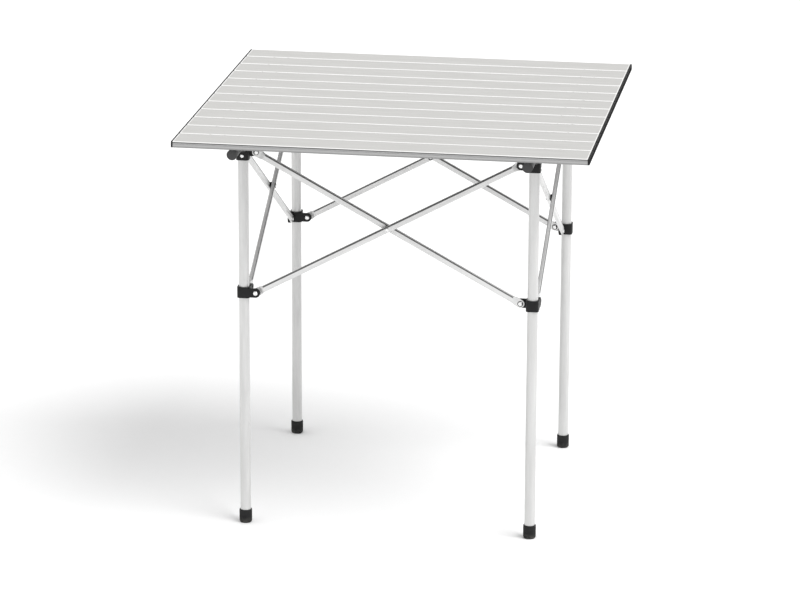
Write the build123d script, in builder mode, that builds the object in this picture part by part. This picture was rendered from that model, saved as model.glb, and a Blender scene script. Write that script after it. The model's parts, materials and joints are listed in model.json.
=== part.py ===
from build123d import *
import math
import os

# A folding camp table with a roll-up slatted top, in millimetres.
# The origin is on the floor under the middle of the table: +X right, +Y back, +Z up.

# ---- the table top -------------------------------------------------------
TOP_WIDTH = 700.0          # along X, end cap to end cap
TOP_DEPTH = 700.0          # along Y
TABLE_HEIGHT = 700.0       # floor to the top face
SLAT_COUNT = 12
SLAT_THICKNESS = 11.0
SLAT_GAP = 1.4             # between two neighbouring slats
SLAT_SKIN = 0.9            # top and bottom walls of a slat
SLAT_SIDE_WALL = 1.5
SLAT_TOP_RADIUS = 3.5
SLAT_BOTTOM_RADIUS = 2.0
GROOVE_DEPTH = 0.6         # shadow line along the slat's two sides
GROOVE_HEIGHT = 1.2
GROOVE_DROP = 3.8          # top face down to the groove

CAP_FLANGE = 3.0           # end cap standing proud of the slat's end
CAP_GAP = 0.6              # between two neighbouring caps
CAP_PLUG = 10.0            # how far the cap goes into the slat
CAP_RADIUS = 2.5
CAP_CLEARANCE = 0.1

CORD_RADIUS = 1.6
CORD_DROP = 2.8            # top face down to the cord's middle
CORD_HOLE_RADIUS = 2.1
CORD_FROM_END = 55.0       # end of the top to the outer strand
CORD_SPACING = 25.0        # between the two strands of a loop
CORD_EDGE = 20.0           # front and back edge to the end of a loop

# ---- the folding frame ---------------------------------------------------
LEG_SPACING = 495.0        # between leg axes, the same both ways
LEG_RADIUS = 9.0
LEG_WALL = 1.2
LEG_FIT = 0.05             # leg pushed into its hub and its foot

FOOT_WALL = 2.0            # rubber round the leg
FOOT_HEIGHT = 24.0
FOOT_FLOOR = 3.0           # rubber under the end of the leg
FOOT_EDGE = 3.0

HUB_WALL = 2.0             # thinnest plastic round the leg, in hubs and collars
HUB_CORNER = 5.0
HUB_HEIGHT = 22.0
HUB_ROOF = 2.4             # over the end of the leg
PIVOT_CLEARANCE = 3.5      # side of a hub or collar to the end of a bar
HUB_PIVOT_RISE = 11.5      # underside of the hub to its pivots
EAR_RADIUS = 7.8
EAR_THICKNESS = 4.5

COLLAR_HEIGHT = 19.0
COLLAR_PIVOT_Z = 416.0     # floor to the sliding collars' pivots, table open
COLLAR_CLEARANCE = 0.3

BRACE_HEIGHT = 11.0        # flat-sided tube, seen from the side
BRACE_DEPTH = 7.0
BRACE_CORNER = 2.2
BRACE_WALL = 1.0
BRACE_GAP = 2.2            # between the two crossing bars
BRACE_END_RADIUS = 7.0
BRACE_END_THICKNESS = 2.8  # the tube pressed flat at its ends
PRESSED_LENGTH = 9.0       # pivot to the end of the flat
PRESS_TAPER = 6.0          # from the flat to the full tube

RIVET_RADIUS = 2.0
RIVET_SEAT = 0.05          # rivet in its own bar
RIVET_RUN = 0.08           # rivet in the piece that turns on it
RIVET_HEAD_RADIUS = 4.2
RIVET_HEAD = 1.6
RIVET_SIDE_PLAY = 0.2
SPACER_RADIUS = 6.0

# ---- the two rails under the slats ---------------------------------------
RAIL_RADIUS = 9.0
RAIL_WALL = 1.2
RAIL_PLAY = 0.3            # under the slats and over the hubs
END_FITTING_SETBACK = 5.0  # edge of the top to the fitting's outer face
FITTING_RADIUS = 8.6
FITTING_DISC = 3.0         # thickness of the end disc
SPIGOT_LENGTH = 18.0
SPIGOT_CLEARANCE = 0.05
STOP_THICKNESS = 6.0       # tab that hooks over the hub's outer face
STOP_WIDTH = 12.0
STOP_DROP = 6.0            # how far it hangs below the rail
STOP_PLAY = 1.0
PEG_RADIUS = 2.5
PEG_RISE = 4.0             # above the underside of the slats
PEG_HOLE_RADIUS = 3.0
SHOULDER_HEIGHT = 4.6      # lip on the hub's inner side
SHOULDER_THICKNESS = 1.7
SHOULDER_LENGTH = 16.0

# ---- worked out ----------------------------------------------------------
SLAT_PITCH = TOP_DEPTH / SLAT_COUNT
SLAT_WIDTH = SLAT_PITCH - SLAT_GAP
SLAT_LENGTH = TOP_WIDTH - 2 * CAP_FLANGE
SLAT_UNDERSIDE = TABLE_HEIGHT - SLAT_THICKNESS
SLAT_MIDDLE_Z = TABLE_HEIGHT - SLAT_THICKNESS / 2
END_FITTING_REACH = TOP_DEPTH / 2 - END_FITTING_SETBACK
CORD_Z = TABLE_HEIGHT - CORD_DROP
CORD_X = TOP_WIDTH / 2 - CORD_FROM_END

FOOT_RADIUS = LEG_RADIUS + FOOT_WALL
HUB_WIDTH = 2 * (LEG_RADIUS + HUB_WALL)
PIVOT_REACH = HUB_WIDTH / 2 + PIVOT_CLEARANCE + BRACE_END_RADIUS  # leg axis to pivots
EAR_OFFSET = (HUB_WIDTH - EAR_THICKNESS) / 2  # leg axis to the middle plane of an ear

RAIL_X = LEG_SPACING / 2
RAIL_Z = SLAT_UNDERSIDE - RAIL_PLAY - RAIL_RADIUS
HUB_TOP = RAIL_Z - RAIL_RADIUS - RAIL_PLAY
HUB_BOTTOM = HUB_TOP - HUB_HEIGHT
HUB_PIVOT_Z = HUB_BOTTOM + HUB_PIVOT_RISE
LEG_TOP = HUB_TOP - HUB_ROOF
STOP_FACE = LEG_SPACING / 2 + HUB_WIDTH / 2 + STOP_PLAY
PEG_Y = TOP_DEPTH / 2 - SLAT_PITCH / 2

PIVOT_SPAN = LEG_SPACING - 2 * PIVOT_REACH
PIVOT_DROP = HUB_PIVOT_Z - COLLAR_PIVOT_Z
BRACE_LENGTH = math.hypot(PIVOT_SPAN, PIVOT_DROP)
BRACE_ANGLE = math.atan2(PIVOT_DROP, PIVOT_SPAN)
BRACE_OFFSET = (BRACE_DEPTH + BRACE_GAP) / 2
TUBE_START = PRESSED_LENGTH + PRESS_TAPER

UP = Vector(0, 0, 1)
HUB_LAP = 1
COLLAR_LAP = -1
CORNERS = ["front_left", "front_right", "back_right", "back_left"]
SIDES = ["front", "right", "back", "left"]


def along_side(turn):
    """Unit vector from one corner to the next, going round seen from above."""
    angle = math.pi / 2 * turn
    return Vector(math.cos(angle), math.sin(angle), 0)


def inward(turn):
    """Unit vector from that side of the frame towards the middle."""
    return along_side(turn + 1)


def corner_point(turn, height=0.0):
    """A leg's axis at some height."""
    half = LEG_SPACING / 2
    return -along_side(turn) * half - inward(turn) * half + UP * height


def save(part, name):
    part.label = name
    export_step(part, f"parts/{name}.step")


# ---- the frame's corner pieces -------------------------------------------

def ear_faces(turn, pivot_z, lap):
    """Middle planes of a corner piece's two ears, each one reaching along its plane's x.

    On a hub the ear along this side is flush with the piece's inside, and the ear along
    the side before it is flush with the outside. On a collar it is the other way round.
    """
    centre = corner_point(turn, pivot_z)
    ahead, across = along_side(turn), inward(turn)
    return [Plane(origin=centre + across * lap * EAR_OFFSET, x_dir=ahead, z_dir=-across),
            Plane(origin=centre - ahead * lap * EAR_OFFSET, x_dir=across, z_dir=ahead)]


def add_ears(turn, pivot_z, lap):
    """Two ears on the corner piece being built, one towards each next leg."""
    for face in ear_faces(turn, pivot_z, lap):
        with BuildSketch(face) as ear:
            with Locations((PIVOT_REACH / 2, 0)):
                Rectangle(PIVOT_REACH, 2 * EAR_RADIUS)
            with Locations((PIVOT_REACH, 0)):
                Circle(EAR_RADIUS)
        extrude(ear.sketch, amount=EAR_THICKNESS / 2, both=True)


def drill_ears(turn, pivot_z, lap):
    """Rivet holes through both ears."""
    for face in ear_faces(turn, pivot_z, lap):
        with BuildSketch(face) as hole:
            with Locations((PIVOT_REACH, 0)):
                Circle(RIVET_RADIUS + RIVET_RUN)
        extrude(hole.sketch, amount=EAR_THICKNESS, both=True, mode=Mode.SUBTRACT)


def build_leg(turn):
    base = Plane(origin=corner_point(turn, FOOT_FLOOR), z_dir=UP)
    with BuildPart() as leg:
        with BuildSketch(base):
            Circle(LEG_RADIUS)
            Circle(LEG_RADIUS - LEG_WALL, mode=Mode.SUBTRACT)
        extrude(amount=LEG_TOP - FOOT_FLOOR)
    save(leg.part, f"{CORNERS[turn]}_leg")


def build_foot(turn):
    with BuildPart() as foot:
        with BuildSketch(Plane(origin=corner_point(turn), z_dir=UP)):
            Circle(FOOT_RADIUS)
        extrude(amount=FOOT_HEIGHT)
        fillet(foot.edges().sort_by(Axis.Z)[0], FOOT_EDGE)
        fillet(foot.edges().sort_by(Axis.Z)[-1], (FOOT_RADIUS - LEG_RADIUS) / 2)
        with BuildSketch(Plane(origin=corner_point(turn, FOOT_FLOOR), z_dir=UP)):
            Circle(LEG_RADIUS + LEG_FIT)
        extrude(amount=FOOT_HEIGHT, mode=Mode.SUBTRACT)
    save(foot.part, f"{CORNERS[turn]}_foot")


def build_hub(turn):
    centre = corner_point(turn)
    side = -math.copysign(1.0, centre.X)
    lip_x = centre.X + side * (HUB_WIDTH - SHOULDER_THICKNESS) / 2
    with BuildPart() as hub:
        with BuildSketch(Plane(origin=corner_point(turn, HUB_BOTTOM), z_dir=UP)):
            RectangleRounded(HUB_WIDTH, HUB_WIDTH, HUB_CORNER)
        extrude(amount=HUB_HEIGHT)
        add_ears(turn, HUB_PIVOT_Z, HUB_LAP)
        with BuildSketch(Plane(origin=(lip_x, centre.Y, HUB_TOP - HUB_ROOF / 2), z_dir=UP)):
            Rectangle(SHOULDER_THICKNESS, SHOULDER_LENGTH - HUB_CORNER)
        extrude(amount=SHOULDER_HEIGHT + HUB_ROOF / 2)
        with BuildSketch(Plane(origin=corner_point(turn, HUB_BOTTOM), z_dir=UP)):
            Circle(LEG_RADIUS + LEG_FIT)
        extrude(amount=LEG_TOP - HUB_BOTTOM, mode=Mode.SUBTRACT)
        drill_ears(turn, HUB_PIVOT_Z, HUB_LAP)
    save(hub.part, f"{CORNERS[turn]}_hub")


def build_collar(turn):
    bottom = COLLAR_PIVOT_Z - COLLAR_HEIGHT / 2
    with BuildPart() as collar:
        with BuildSketch(Plane(origin=corner_point(turn, bottom), z_dir=UP)):
            RectangleRounded(HUB_WIDTH, HUB_WIDTH, HUB_CORNER)
        extrude(amount=COLLAR_HEIGHT)
        add_ears(turn, COLLAR_PIVOT_Z, COLLAR_LAP)
        with BuildSketch(Plane(origin=corner_point(turn, bottom), z_dir=UP)):
            Circle(LEG_RADIUS + COLLAR_CLEARANCE)
        extrude(amount=COLLAR_HEIGHT, mode=Mode.SUBTRACT)
        drill_ears(turn, COLLAR_PIVOT_Z, COLLAR_LAP)
    save(collar.part, f"{CORNERS[turn]}_collar")


# ---- the crossing bars ---------------------------------------------------

def bar_frame(turn, outer):
    """Start point, direction and outward normal of one bar of a side.

    The outer bar runs from the next leg's hub down to the first leg's collar, and the
    inner bar from the first leg's hub down to the next leg's collar.
    """
    run = -along_side(turn) if outer else along_side(turn)
    corner = corner_point(turn + 1 if outer else turn, HUB_PIVOT_Z)
    offset = -BRACE_OFFSET if outer else BRACE_OFFSET
    start = corner + run * PIVOT_REACH + inward(turn) * offset
    direction = run * math.cos(BRACE_ANGLE) - UP * math.sin(BRACE_ANGLE)
    return start, direction, -inward(turn)


def build_brace(turn, outer):
    start, direction, normal = bar_frame(turn, outer)
    height_dir = normal.cross(direction)
    face = Plane(origin=start, x_dir=direction, z_dir=normal)

    def section(distance):
        return Plane(origin=start + direction * distance, x_dir=height_dir, z_dir=direction)

    with BuildPart() as brace:
        with BuildSketch(section(TUBE_START)):
            RectangleRounded(BRACE_HEIGHT, BRACE_DEPTH, BRACE_CORNER)
        extrude(amount=BRACE_LENGTH - 2 * TUBE_START)
        for flat, tube in ((PRESSED_LENGTH, TUBE_START),
                           (BRACE_LENGTH - PRESSED_LENGTH, BRACE_LENGTH - TUBE_START)):
            with BuildSketch(section(flat)):
                RectangleRounded(2 * BRACE_END_RADIUS, BRACE_END_THICKNESS, BRACE_END_THICKNESS / 4)
            with BuildSketch(section(tube)):
                RectangleRounded(BRACE_HEIGHT, BRACE_DEPTH, BRACE_CORNER)
            loft()
        with BuildSketch(face):
            for pivot, towards in ((0.0, 1.0), (BRACE_LENGTH, -1.0)):
                with Locations((pivot, 0)):
                    Circle(BRACE_END_RADIUS)
                with Locations((pivot + towards * PRESSED_LENGTH / 2, 0)):
                    Rectangle(PRESSED_LENGTH, 2 * BRACE_END_RADIUS)
        extrude(amount=BRACE_END_THICKNESS / 2, both=True)
        with BuildSketch(section(TUBE_START)):
            RectangleRounded(BRACE_HEIGHT - 2 * BRACE_WALL, BRACE_DEPTH - 2 * BRACE_WALL,
                             BRACE_CORNER - BRACE_WALL)
        extrude(amount=BRACE_LENGTH - 2 * TUBE_START, mode=Mode.SUBTRACT)
        with BuildSketch(face):
            with Locations((0, 0), (BRACE_LENGTH, 0)):
                Circle(RIVET_RADIUS + RIVET_SEAT)
            with Locations((BRACE_LENGTH / 2, 0)):
                Circle(RIVET_RADIUS + (RIVET_SEAT if outer else RIVET_RUN))
        extrude(amount=BRACE_DEPTH, both=True, mode=Mode.SUBTRACT)
    save(brace.part, f"{SIDES[turn]}_{'outer' if outer else 'inner'}_brace")


def add_rivet(face, place, low, high):
    """A domed rivet between two faces, measured along the plane's normal."""
    for start, length, radius in ((low, high - low, RIVET_RADIUS),
                                  (high, RIVET_HEAD, RIVET_HEAD_RADIUS),
                                  (low - RIVET_HEAD, RIVET_HEAD, RIVET_HEAD_RADIUS)):
        with BuildSketch(face.offset(start)) as disc:
            with Locations((place, 0)):
                Circle(radius)
        extrude(disc.sketch, amount=length)


def build_rivets(turn, outer):
    """The rivets that turn with one bar: both ends, and the middle one on the outer bar."""
    start, direction, normal = bar_frame(turn, outer)
    face = Plane(origin=start, x_dir=direction, z_dir=normal)
    half_end = BRACE_END_THICKNESS / 2
    ear_far = HUB_WIDTH / 2 - BRACE_OFFSET + RIVET_SIDE_PLAY
    low, high = (-half_end, ear_far) if outer else (-ear_far, half_end)
    with BuildPart() as rivets:
        add_rivet(face, 0.0, low, high)
        add_rivet(face, BRACE_LENGTH, low, high)
        if outer:
            far_side = 2 * BRACE_OFFSET + BRACE_DEPTH / 2 + RIVET_SIDE_PLAY
            add_rivet(face, BRACE_LENGTH / 2, -far_side, BRACE_DEPTH / 2)
            with BuildSketch(face.offset(-BRACE_DEPTH / 2)):
                with Locations((BRACE_LENGTH / 2, 0)):
                    Circle(SPACER_RADIUS)
            extrude(amount=-(BRACE_GAP - RIVET_SIDE_PLAY))
    save(rivets.part, f"{SIDES[turn]}_{'outer' if outer else 'inner'}_rivets")


# ---- the rails under the top ---------------------------------------------

def build_rail(side):
    name = "left_rail" if side < 0 else "right_rail"
    start = Plane(origin=(side * RAIL_X, -STOP_FACE, RAIL_Z), x_dir=(1, 0, 0), z_dir=(0, 1, 0))
    with BuildPart() as rail:
        with BuildSketch(start):
            Circle(RAIL_RADIUS)
            Circle(RAIL_RADIUS - RAIL_WALL, mode=Mode.SUBTRACT)
        extrude(amount=2 * STOP_FACE)
    save(rail.part, name)


def build_rail_fittings():
    """Four moulded end fittings, each with a stop tab, a peg and an end disc."""
    spigot = RAIL_RADIUS - RAIL_WALL - SPIGOT_CLEARANCE
    disc_start = END_FITTING_REACH - FITTING_DISC
    with BuildPart() as fittings:
        for side in (-1, 1):
            for end in (-1, 1):
                at = Plane(origin=(side * RAIL_X, 0, RAIL_Z), x_dir=(-end, 0, 0), z_dir=(0, end, 0))
                for start, stop, radius in ((STOP_FACE - SPIGOT_LENGTH, STOP_FACE, spigot),
                                            (STOP_FACE, disc_start, FITTING_RADIUS),
                                            (disc_start, END_FITTING_REACH, RAIL_RADIUS)):
                    with BuildSketch(at.offset(start)):
                        Circle(radius)
                    extrude(amount=stop - start)
                tab_height = RAIL_RADIUS + STOP_DROP
                with BuildSketch(at.offset(STOP_FACE)):
                    with Locations((0, -tab_height / 2)):
                        Rectangle(STOP_WIDTH, tab_height)
                extrude(amount=STOP_THICKNESS)
                foot_of_peg = (side * RAIL_X, end * PEG_Y, RAIL_Z)
                with BuildSketch(Plane(origin=foot_of_peg, z_dir=UP)):
                    Circle(PEG_RADIUS)
                extrude(amount=SLAT_UNDERSIDE + PEG_RISE - RAIL_Z)
    save(fittings.part, "rail_end_fittings")


# ---- the roll-up top -----------------------------------------------------

def slat_middle(index):
    return -TOP_DEPTH / 2 + SLAT_PITCH * (index + 0.5)


def rounded_bar(width, thickness, top_radius, bottom_radius):
    """Outline of a bar in the sketch being built, with its own radii above and below."""
    half, deep = width / 2, thickness / 2
    with BuildLine() as outline:
        FilletPolyline((-half, 0), (-half, deep), (half, deep), (half, 0), radius=top_radius)
        FilletPolyline((half, 0), (half, -deep), (-half, -deep), (-half, 0), radius=bottom_radius)
    make_face(outline.edges())


def build_slat(index):
    middle = slat_middle(index)
    end = Plane(origin=(-SLAT_LENGTH / 2, middle, SLAT_MIDDLE_Z), x_dir=(0, 1, 0), z_dir=(1, 0, 0))
    groove_z = SLAT_THICKNESS / 2 - GROOVE_DROP - GROOVE_HEIGHT / 2
    with BuildPart() as slat:
        with BuildSketch(end):
            rounded_bar(SLAT_WIDTH, SLAT_THICKNESS, SLAT_TOP_RADIUS, SLAT_BOTTOM_RADIUS)
            with Locations((-SLAT_WIDTH / 2, groove_z), (SLAT_WIDTH / 2, groove_z)):
                Rectangle(2 * GROOVE_DEPTH, GROOVE_HEIGHT, mode=Mode.SUBTRACT)
        extrude(amount=SLAT_LENGTH)
        with BuildSketch(end):
            rounded_bar(SLAT_WIDTH - 2 * SLAT_SIDE_WALL, SLAT_THICKNESS - 2 * SLAT_SKIN,
                        SLAT_TOP_RADIUS - SLAT_SIDE_WALL, SLAT_BOTTOM_RADIUS - SLAT_SKIN)
        extrude(amount=SLAT_LENGTH, mode=Mode.SUBTRACT)
        walls = []
        if index > 0:
            walls.append(-1)
        if index < SLAT_COUNT - 1:
            walls.append(1)
        for wall in walls:
            start = middle + wall * (SLAT_WIDTH / 2 - 2 * SLAT_SIDE_WALL)
            with BuildSketch(Plane(origin=(0, start, CORD_Z), x_dir=(wall, 0, 0), z_dir=(0, wall, 0))):
                for strand in (CORD_X, CORD_X - CORD_SPACING):
                    with Locations((-strand, 0), (strand, 0)):
                        Circle(CORD_HOLE_RADIUS)
            extrude(amount=3 * SLAT_SIDE_WALL, mode=Mode.SUBTRACT)
        if index in (0, SLAT_COUNT - 1):
            with BuildSketch(Plane(origin=(0, middle, SLAT_UNDERSIDE), z_dir=UP)):
                with Locations((-RAIL_X, 0), (RAIL_X, 0)):
                    Circle(PEG_HOLE_RADIUS)
            extrude(amount=2 * SLAT_SKIN, mode=Mode.SUBTRACT)
    save(slat.part, f"slat_{index + 1:02d}")


def build_slat_caps(index):
    """The two moulded caps that close one slat."""
    middle = slat_middle(index)
    plug_width = SLAT_WIDTH - 2 * SLAT_SIDE_WALL - 2 * CAP_CLEARANCE
    plug_thickness = SLAT_THICKNESS - 2 * SLAT_SKIN - 2 * CAP_CLEARANCE
    with BuildPart() as caps:
        for end in (-1, 1):
            face = Plane(origin=(end * SLAT_LENGTH / 2, middle, SLAT_MIDDLE_Z),
                         x_dir=(0, end, 0), z_dir=(end, 0, 0))
            with BuildSketch(face):
                rounded_bar(SLAT_PITCH - CAP_GAP, SLAT_THICKNESS, CAP_RADIUS, CAP_RADIUS)
            extrude(amount=CAP_FLANGE)
            with BuildSketch(face):
                rounded_bar(plug_width, plug_thickness, SLAT_TOP_RADIUS - SLAT_SIDE_WALL,
                            SLAT_BOTTOM_RADIUS - SLAT_SKIN)
            extrude(amount=-CAP_PLUG)
    save(caps.part, f"slat_{index + 1:02d}_caps")


def build_cord_loops():
    """Two closed elastic loops that run through every slat and hold them together."""
    bend = CORD_SPACING / 2
    straight_end = TOP_DEPTH / 2 - CORD_EDGE - bend
    with BuildPart() as loops:
        for side in (-1, 1):
            middle_x = side * (CORD_X - bend)
            for strand in (-bend, bend):
                start = Plane(origin=(middle_x + strand, -straight_end, CORD_Z),
                              x_dir=(1, 0, 0), z_dir=(0, 1, 0))
                with BuildSketch(start):
                    Circle(CORD_RADIUS)
                extrude(amount=2 * straight_end)
            for end in (-1, 1):
                turn = Plane(origin=(middle_x, end * straight_end, CORD_Z),
                             x_dir=(end, 0, 0), z_dir=(0, -end, 0))
                with BuildSketch(turn):
                    with Locations((bend, 0)):
                        Circle(CORD_RADIUS)
                pivot = Axis((middle_x, end * straight_end, CORD_Z), (0, 0, 1))
                revolve(axis=pivot, revolution_arc=180)
    save(loops.part, "elastic_loops")


os.makedirs("parts", exist_ok=True)

for turn in range(4):
    build_leg(turn)
    build_foot(turn)
    build_hub(turn)
    build_collar(turn)
    for outer in (True, False):
        build_brace(turn, outer)
        build_rivets(turn, outer)

for side in (-1, 1):
    build_rail(side)
build_rail_fittings()

for index in range(SLAT_COUNT):
    build_slat(index)
    build_slat_caps(index)
build_cord_loops()

print(f"brace {BRACE_LENGTH:.3f} mm at {math.degrees(BRACE_ANGLE):.3f} deg, hub pivot {HUB_PIVOT_Z:.3f}")
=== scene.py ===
"""Looks of a folding camp table with a roll-up slatted top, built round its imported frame.

Everything is in metres. The origin is on the floor under the middle of the table:
+X right, +Y back, +Z up.
"""
import json
import logging
import math
from dataclasses import dataclass
from enum import Enum
from typing import Iterable, Sequence, Union

import bmesh
import bpy
from mathutils import Matrix, Vector


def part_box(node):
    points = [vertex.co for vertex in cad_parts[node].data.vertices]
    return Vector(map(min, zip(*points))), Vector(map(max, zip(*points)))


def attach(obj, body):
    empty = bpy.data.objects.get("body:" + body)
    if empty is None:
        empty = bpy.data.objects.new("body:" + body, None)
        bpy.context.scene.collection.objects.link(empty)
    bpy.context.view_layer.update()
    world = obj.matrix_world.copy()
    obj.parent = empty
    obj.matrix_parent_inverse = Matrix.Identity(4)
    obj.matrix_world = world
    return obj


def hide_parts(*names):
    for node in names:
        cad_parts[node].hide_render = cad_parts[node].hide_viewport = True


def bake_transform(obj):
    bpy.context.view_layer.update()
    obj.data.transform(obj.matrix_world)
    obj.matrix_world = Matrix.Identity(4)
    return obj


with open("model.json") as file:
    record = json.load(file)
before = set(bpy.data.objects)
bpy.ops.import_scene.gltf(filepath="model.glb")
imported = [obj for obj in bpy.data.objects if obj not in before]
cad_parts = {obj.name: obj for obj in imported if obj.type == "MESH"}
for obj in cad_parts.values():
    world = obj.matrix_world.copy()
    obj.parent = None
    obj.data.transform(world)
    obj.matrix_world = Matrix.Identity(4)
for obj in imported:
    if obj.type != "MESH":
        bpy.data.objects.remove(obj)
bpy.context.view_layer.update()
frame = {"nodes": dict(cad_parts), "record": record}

LOG = logging.getLogger("camp_table")
MM = 0.001
UP = Vector((0.0, 0.0, 1.0))
SLAT_COUNT = 12

Colour = tuple[float, float, float]
Euler = tuple[float, float, float]
Triple = tuple[float, float, float]


# ---- names of the table's corners, sides and bars ------------------------

class Side(Enum):
    """A side of the folding frame, numbered going round from the front."""

    FRONT = 0
    RIGHT = 1
    BACK = 2
    LEFT = 3

    @property
    def label(self) -> str:
        """The side's name as the frame spells it."""
        return self.name.lower()

    @property
    def along(self) -> Vector:
        """Unit vector from this side's first corner to its next one."""
        angle = math.pi / 2 * self.value
        return Vector((round(math.cos(angle)), round(math.sin(angle)), 0.0))

    @property
    def outward(self) -> Vector:
        """Unit vector from the middle of the table out through this side."""
        return self.along.cross(UP)


class Corner(Enum):
    """A corner of the frame; its value is the side that starts there."""

    FRONT_LEFT = 0
    FRONT_RIGHT = 1
    BACK_RIGHT = 2
    BACK_LEFT = 3

    @property
    def label(self) -> str:
        """The corner's name as the frame spells it."""
        return self.name.lower()

    @property
    def side(self) -> Side:
        """The side that starts at this corner."""
        return Side(self.value)


class Layer(Enum):
    """Which of the two crossing bars of a side is meant."""

    OUTER = 1
    INNER = -1

    @property
    def label(self) -> str:
        """The layer's name as the frame spells it."""
        return self.name.lower()


# ---- shader graph --------------------------------------------------------

Number = Union[float, "Value"]


class Value:
    """A number in a material's graph that can be used in ordinary expressions."""

    def __init__(self, graph: "Graph", socket: bpy.types.NodeSocket) -> None:
        """Wraps one output socket of the graph."""
        self.graph = graph
        self.socket = socket

    def _math(self, operation: str, first: Number, second: Number) -> "Value":
        """Adds one Math node and wraps its result."""
        node = self.graph.node("ShaderNodeMath", {"operation": operation}, {0: first, 1: second})
        return Value(self.graph, node.outputs[0])

    def __add__(self, other: Number) -> "Value":
        """self + other."""
        return self._math("ADD", self, other)

    __radd__ = __add__

    def __mul__(self, other: Number) -> "Value":
        """self * other."""
        return self._math("MULTIPLY", self, other)

    __rmul__ = __mul__

    def __sub__(self, other: Number) -> "Value":
        """self - other."""
        return self._math("SUBTRACT", self, other)

    def __rsub__(self, other: Number) -> "Value":
        """other - self."""
        return self._math("SUBTRACT", other, self)

    def __pow__(self, other: Number) -> "Value":
        """self to the power other."""
        return self._math("POWER", self, other)

    def magnitude(self) -> "Value":
        """The value without its sign."""
        return self._math("ABSOLUTE", self, 0.0)

    def band(self, low: float, high: float) -> "Value":
        """A smooth step from 0 at low to 1 at high.

        Args:
            low: where the step starts.
            high: where the step ends, which may lie below low.

        Returns:
            The stepped value.
        """
        node = self.graph.node(
            "ShaderNodeMapRange",
            {"interpolation_type": "SMOOTHSTEP", "clamp": True},
            {"Value": self, "From Min": low, "From Max": high, "To Min": 0.0, "To Max": 1.0},
        )
        return Value(self.graph, node.outputs[0])


class Graph:
    """The node graph of one material, with its Principled shader ready."""

    def __init__(self, name: str) -> None:
        """Makes the material and clears all but its shader.

        Args:
            name: the material's name.
        """
        self.material = bpy.data.materials.new(name)
        self.material.use_nodes = True
        self.tree = self.material.node_tree
        self.shader = next(n for n in self.tree.nodes if n.type == "BSDF_PRINCIPLED")

    def node(self, kind: str, settings: dict | None = None, inputs: dict | None = None) -> bpy.types.Node:
        """Adds a node.

        Args:
            kind: the node's type.
            settings: its properties, set before its sockets.
            inputs: values or links by socket number, name or identifier.

        Returns:
            The node.
        """
        made = self.tree.nodes.new(kind)
        for key, value in (settings or {}).items():
            setattr(made, key, value)
        for key, value in (inputs or {}).items():
            self.feed(self.socket(made, key), value)
        return made

    @staticmethod
    def socket(node: bpy.types.Node, key: int | str) -> bpy.types.NodeSocket:
        """Finds an input socket by number, identifier or name."""
        if isinstance(key, int):
            return node.inputs[key]
        for candidate in node.inputs:
            if candidate.identifier == key:
                return candidate
        return node.inputs[key]

    def feed(self, socket: bpy.types.NodeSocket, value: object) -> None:
        """Links a wrapped value or a socket, or sets a constant."""
        if isinstance(value, Value):
            self.tree.links.new(value.socket, socket)
        elif isinstance(value, bpy.types.NodeSocket):
            self.tree.links.new(value, socket)
        else:
            socket.default_value = value

    def place(
        self,
        turn: Euler = (0.0, 0.0, 0.0),
        stretch: Triple = (1.0, 1.0, 1.0),
        middle: Triple = (0.0, 0.0, 0.0),
    ) -> bpy.types.NodeSocket:
        """Object coordinates measured from a piece's middle, along its own directions.

        Args:
            turn: the piece's direction, as Euler angles.
            stretch: how far the pattern is drawn out along each of its axes.
            middle: the piece's middle.

        Returns:
            The vector socket.
        """
        where = self.node("ShaderNodeTexCoord").outputs["Object"]
        mapping = self.node(
            "ShaderNodeMapping",
            {"vector_type": "TEXTURE"},
            {"Vector": where, "Location": middle, "Rotation": turn, "Scale": stretch},
        )
        return mapping.outputs["Vector"]

    def noise(self, where: bpy.types.NodeSocket, scale: float, detail: float = 3.0) -> Value:
        """Noise between 0 and 1, with its middle near a half."""
        node = self.node(
            "ShaderNodeTexNoise",
            {"noise_dimensions": "3D"},
            {"Vector": where, "Scale": scale, "Detail": detail, "Roughness": 0.55},
        )
        return Value(self, node.outputs[0])

    def height_of(self, where: bpy.types.NodeSocket, axis: str = "Z") -> Value:
        """One component of a vector."""
        node = self.node("ShaderNodeSeparateXYZ", None, {0: where})
        return Value(self, node.outputs[axis])

    def mix(self, amount: Number, first: object, second: object) -> bpy.types.NodeSocket:
        """A colour between two.

        Args:
            amount: 0 gives the first colour and 1 the second.
            first: a colour or a colour socket.
            second: a colour or a colour socket.

        Returns:
            The mixed colour's socket.
        """
        colours = [(*c, 1.0) if isinstance(c, tuple) else c for c in (first, second)]
        node = self.node(
            "ShaderNodeMix",
            {"data_type": "RGBA"},
            {"Factor_Float": amount, "A_Color": colours[0], "B_Color": colours[1]},
        )
        return next(o for o in node.outputs if o.identifier == "Result_Color")

    def bump(self, height: Value, depth: float) -> bpy.types.NodeSocket:
        """A bumped normal.

        Args:
            height: the relief, from 0 to 1.
            depth: how deep it is, in metres.

        Returns:
            The normal's socket.
        """
        node = self.node("ShaderNodeBump", None, {"Strength": 1.0, "Distance": depth, "Height": height})
        return node.outputs[0]

    def dress(self, **inputs: object) -> bpy.types.Material:
        """Sets the shader's sockets, named with underscores for spaces.

        Returns:
            The finished material.
        """
        for key, value in inputs.items():
            name = key.replace("_", " ")
            self.feed(self.shader.inputs[name], (*value, 1.0) if isinstance(value, tuple) else value)
        return self.material


# ---- finishes ------------------------------------------------------------

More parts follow.
